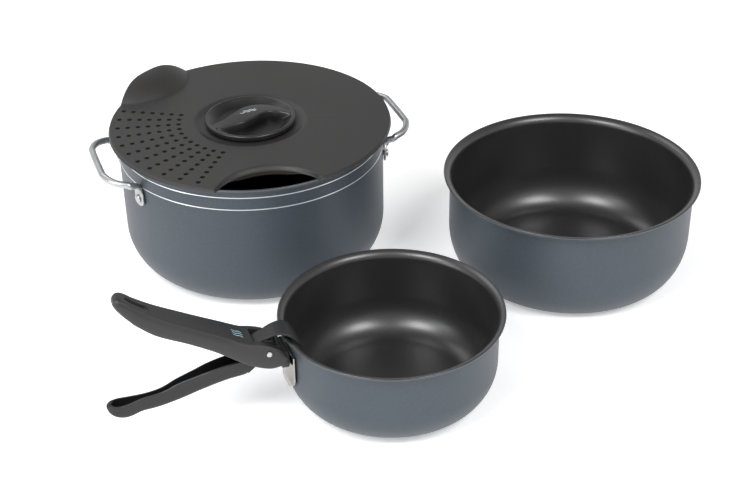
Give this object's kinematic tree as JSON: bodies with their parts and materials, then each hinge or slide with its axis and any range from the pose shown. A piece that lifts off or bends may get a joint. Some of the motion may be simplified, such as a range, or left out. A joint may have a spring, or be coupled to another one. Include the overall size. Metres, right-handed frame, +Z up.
{
  "type": "camping cooking pot set",
  "caption": "Nesting camp cookware: flat-bottomed pot with wire side handles and strainer lid, a bowl, and a small pan held by a removable pliers-type gripper.",
  "frame": {"origin": "centre of the large pot's flat base, on the plane that all three vessels stand on", "axes": "+Z up; +X from the pot towards the bowl; +Y from the pan towards the pot's far side"},
  "size_m": [0.4566, 0.369, 0.1183],
  "materials": {
    "blue_grey_paint": "satin blue-grey lacquer outside, matt charcoal non-stick coating inside",
    "lid_plastic": "fine-textured warm dark grey plastic",
    "knob_plastic": "smooth black plastic with a soft shine",
    "grip_plastic": "satin black plastic",
    "satin_aluminium": "satin aluminium rod",
    "rivet_steel": "smooth bare steel",
    "chromed_steel": "bright plated steel"
  },
  "bodies": {
    "pot": {"pot_body": "blue_grey_paint", "left_handle": "satin_aluminium", "left_handle_front_rivet": "rivet_steel", "left_handle_back_rivet": "rivet_steel", "right_handle": "satin_aluminium", "right_handle_front_rivet": "rivet_steel", "right_handle_back_rivet": "rivet_steel"},
    "lid": {"lid_plate": "lid_plastic", "lid_knob": "knob_plastic", "knob_screw": "rivet_steel", "knob_washer": "rivet_steel"},
    "bowl": {"bowl_body": "blue_grey_paint"},
    "pan": {"pan_body": "blue_grey_paint"},
    "gripper": {"gripper_upper_grip": "grip_plastic", "gripper_jaw_plate": "chromed_steel", "gripper_jaw_near_rivet": "rivet_steel", "gripper_jaw_far_rivet": "rivet_steel", "gripper_pivot_pin": "rivet_steel", "gripper_spring": "rivet_steel"},
    "lever": {"gripper_lever": "grip_plastic", "gripper_hook_liner": "rivet_steel", "gripper_liner_rivet": "rivet_steel"}
  },
  "joints": [
    {"name": "lid_lift", "type": "slide", "parent": "pot", "child": "lid", "axis": [0, 0, 1], "range_m": [0, 0.12]},
    {"name": "bowl_lift", "type": "slide", "parent": "pot", "child": "bowl", "axis": [0, 0, 1], "range_m": [0, 0.15]},
    {"name": "pan_lift", "type": "slide", "parent": "pot", "child": "pan", "axis": [0, 0, 1], "range_m": [0, 0.15]},
    {"name": "gripper_pull_off", "type": "slide", "parent": "pan", "child": "gripper", "axis": [-0.4728, -0.1628, 0.866], "range_m": [0, 0.06]},
    {"name": "lever_pivot", "type": "hinge", "parent": "gripper", "child": "lever", "pos_m": [0.02028, -0.21538, 0.0572], "axis": [-0.3256, 0.9455, 0], "range_deg": [0, 3.5], "deforming": ["gripper_spring"]}
  ]
}
